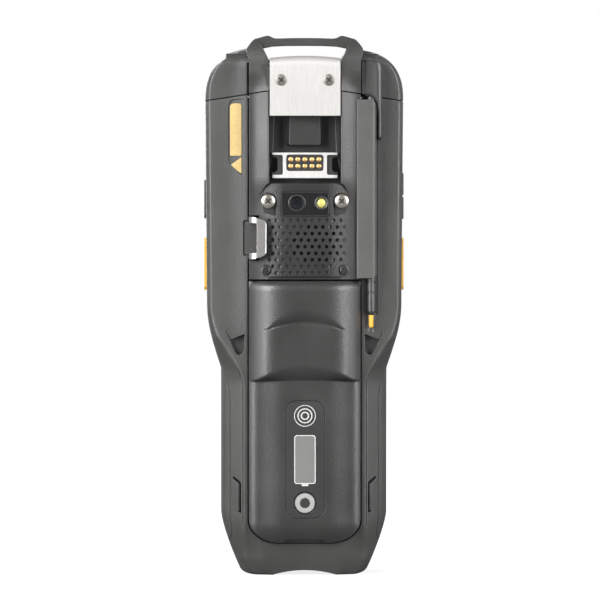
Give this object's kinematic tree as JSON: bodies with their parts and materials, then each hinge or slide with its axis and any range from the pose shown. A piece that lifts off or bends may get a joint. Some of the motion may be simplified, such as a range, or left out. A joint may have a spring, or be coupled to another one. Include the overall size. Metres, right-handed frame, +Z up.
{
  "type": "portable barcode data terminal",
  "caption": "Rugged handheld barcode data terminal with tilt-out battery, side scan keys, keypad, display, holstered stylus, camera and dock connector.",
  "frame": {"origin": "middle of the bounding box's bottom face, between the feet, where the terminal stands", "axes": "+Z up along the terminal, -Y towards its back with battery and camera, +Y towards its display, +X to the right seen from the back"},
  "size_m": [0.087, 0.05, 0.234],
  "materials": {
    "dark_shell": "fine-grained moulded plastic",
    "bumper": "fine-grained moulded plastic, slightly lighter",
    "black_frame": "fine-grained black moulded plastic",
    "black_plastic": "plain black plastic",
    "grey_rubber": "matt silicone rubber",
    "zinc_steel": "zinc-plated screw steel",
    "bright_steel": "polished steel",
    "black_steel": "blackened screw steel",
    "brushed_plate": "vertically brushed stainless steel",
    "black_gloss": "glossy black window",
    "lens_black": "black lens barrel",
    "flash_lens": "clear dome over a yellow phosphor",
    "gold": "gold-plated",
    "amber_label": "satin amber label film",
    "circuit_board": "green solder mask",
    "display_tin": "sheet tin",
    "display_black": "cover glass over a dark display",
    "red_window": "dark red scan window",
    "cell_wrap": "shrink-wrapped cell",
    "gauge_lens": "smoked grey gauge lens",
    "grey_button": "grey moulded button",
    "stylus_black": "black stylus plastic",
    "amber_tip": "amber stylus tip",
    "scan_yellow": "yellow key rubber",
    "red_key": "red key rubber",
    "number_key": "dark grey key rubber"
  },
  "bodies": {
    "housing": {"rear_housing": "dark_shell", "front_housing": "dark_shell", "top_cap": "bumper", "centre_frame": "black_frame", "housing_gasket": "grey_rubber", "housing_screws": "zinc_steel", "speaker_cover": "black_frame", "cover_screws_upper": "bright_steel", "cover_screws_lower": "black_steel", "camera_window": "black_gloss", "camera_module": "lens_black", "flash_led": "flash_lens", "hook_plate": "brushed_plate", "plate_screws": "zinc_steel", "connector_bracket": "bright_steel", "connector_block": "black_plastic", "connector_contacts": "gold", "strap_loop": "bright_steel", "stylus_sleeve": "dark_shell", "warning_label": "amber_label", "battery_socket": "black_plastic", "main_board": "circuit_board", "display_module": "display_tin", "display_glass": "display_black", "earpiece": "black_plastic", "keypad_board": "circuit_board", "keypad_mat": "grey_rubber", "scan_engine": "black_plastic", "scan_window": "red_window", "speaker": "black_plastic"},
    "battery": {"battery_shell": "dark_shell", "battery_tray": "black_plastic", "battery_cells": "cell_wrap", "battery_contacts": "gold", "gauge_window": "gauge_lens"},
    "gauge_button": {"gauge_button": "grey_button"},
    "stylus": {"stylus_barrel": "stylus_black", "stylus_tip": "amber_tip", "stylus_cap": "stylus_black"},
    "latch_left": {"latch_button_left": "grey_button"},
    "latch_right": {"latch_button_right": "grey_button"},
    "volume_rocker": {"volume_rocker": "grey_button"},
    "scan_key_left": {"scan_key_left": "scan_yellow"},
    "scan_key_right": {"scan_key_right": "scan_yellow"},
    "side_key_upper": {"side_key_upper": "grey_button"},
    "side_key_lower": {"side_key_lower": "grey_button"},
    "power_key": {"power_key": "red_key"},
    "enter_key": {"enter_key": "scan_yellow"},
    "number_key_1_1": {"number_key_1_1": "number_key"},
    "number_key_1_2": {"number_key_1_2": "number_key"},
    "number_key_1_3": {"number_key_1_3": "number_key"},
    "number_key_2_1": {"number_key_2_1": "number_key"},
    "number_key_2_2": {"number_key_2_2": "number_key"},
    "number_key_2_3": {"number_key_2_3": "number_key"},
    "number_key_3_1": {"number_key_3_1": "number_key"},
    "number_key_3_2": {"number_key_3_2": "number_key"},
    "number_key_3_3": {"number_key_3_3": "number_key"},
    "number_key_4_1": {"number_key_4_1": "number_key"},
    "number_key_4_2": {"number_key_4_2": "number_key"},
    "number_key_4_3": {"number_key_4_3": "number_key"}
  },
  "joints": [
    {"name": "battery_tilt", "type": "hinge", "parent": "housing", "child": "battery", "pos_m": [0, -0.0215, 0.128], "axis": [-1, 0, 0], "range_deg": [0, 40]},
    {"name": "gauge_press", "type": "slide", "parent": "battery", "child": "gauge_button", "axis": [0, 1, 0], "range_m": [0, 0.0003], "stiffness_N_per_m": 400},
    {"name": "stylus_pull", "type": "slide", "parent": "housing", "child": "stylus", "axis": [0, 0, 1], "range_m": [0, 0.125]},
    {"name": "latch_left_press", "type": "slide", "parent": "housing", "child": "latch_left", "axis": [0.7286, 0.6849, 0], "range_m": [0, 0.001], "stiffness_N_per_m": 800},
    {"name": "latch_right_press", "type": "slide", "parent": "housing", "child": "latch_right", "axis": [-0.7286, 0.6849, 0], "range_m": [0, 0.001], "stiffness_N_per_m": 800},
    {"name": "volume_rock", "type": "hinge", "parent": "housing", "child": "volume_rocker", "pos_m": [-0.0395, -0.002, 0.16345], "axis": [0, 1, 0], "range_deg": [-2, 2], "stiffness_Nm_per_rad": 0.06},
    {"name": "scan_key_left_press", "type": "slide", "parent": "housing", "child": "scan_key_left", "axis": [1, 0, 0], "range_m": [0, 0.0004], "stiffness_N_per_m": 600},
    {"name": "scan_key_right_press", "type": "slide", "parent": "housing", "child": "scan_key_right", "axis": [-1, 0, 0], "range_m": [0, 0.0004], "stiffness_N_per_m": 600},
    {"name": "side_key_upper_press", "type": "slide", "parent": "housing", "child": "side_key_upper", "axis": [-1, 0, 0], "range_m": [0, 0.0004], "stiffness_N_per_m": 600},
    {"name": "side_key_lower_press", "type": "slide", "parent": "housing", "child": "side_key_lower", "axis": [-1, 0, 0], "range_m": [0, 0.0004], "stiffness_N_per_m": 600},
    {"name": "power_key_press", "type": "slide", "parent": "housing", "child": "power_key", "axis": [0, -1, 0], "range_m": [0, 0.0006], "stiffness_N_per_m": 400},
    {"name": "enter_key_press", "type": "slide", "parent": "housing", "child": "enter_key", "axis": [0, -1, 0], "range_m": [0, 0.0006], "stiffness_N_per_m": 400},
    {"name": "number_key_1_1_press", "type": "slide", "parent": "housing", "child": "number_key_1_1", "axis": [0, -1, 0], "range_m": [0, 0.0006], "stiffness_N_per_m": 400},
    {"name": "number_key_1_2_press", "type": "slide", "parent": "housing", "child": "number_key_1_2", "axis": [0, -1, 0], "range_m": [0, 0.0006], "stiffness_N_per_m": 400},
    {"name": "number_key_1_3_press", "type": "slide", "parent": "housing", "child": "number_key_1_3", "axis": [0, -1, 0], "range_m": [0, 0.0006], "stiffness_N_per_m": 400},
    {"name": "number_key_2_1_press", "type": "slide", "parent": "housing", "child": "number_key_2_1", "axis": [0, -1, 0], "range_m": [0, 0.0006], "stiffness_N_per_m": 400},
    {"name": "number_key_2_2_press", "type": "slide", "parent": "housing", "child": "number_key_2_2", "axis": [0, -1, 0], "range_m": [0, 0.0006], "stiffness_N_per_m": 400},
    {"name": "number_key_2_3_press", "type": "slide", "parent": "housing", "child": "number_key_2_3", "axis": [0, -1, 0], "range_m": [0, 0.0006], "stiffness_N_per_m": 400},
    {"name": "number_key_3_1_press", "type": "slide", "parent": "housing", "child": "number_key_3_1", "axis": [0, -1, 0], "range_m": [0, 0.0006], "stiffness_N_per_m": 400},
    {"name": "number_key_3_2_press", "type": "slide", "parent": "housing", "child": "number_key_3_2", "axis": [0, -1, 0], "range_m": [0, 0.0006], "stiffness_N_per_m": 400},
    {"name": "number_key_3_3_press", "type": "slide", "parent": "housing", "child": "number_key_3_3", "axis": [0, -1, 0], "range_m": [0, 0.0006], "stiffness_N_per_m": 400},
    {"name": "number_key_4_1_press", "type": "slide", "parent": "housing", "child": "number_key_4_1", "axis": [0, -1, 0], "range_m": [0, 0.0006], "stiffness_N_per_m": 400},
    {"name": "number_key_4_2_press", "type": "slide", "parent": "housing", "child": "number_key_4_2", "axis": [0, -1, 0], "range_m": [0, 0.0006], "stiffness_N_per_m": 400},
    {"name": "number_key_4_3_press", "type": "slide", "parent": "housing", "child": "number_key_4_3", "axis": [0, -1, 0], "range_m": [0, 0.0006], "stiffness_N_per_m": 400}
  ]
}
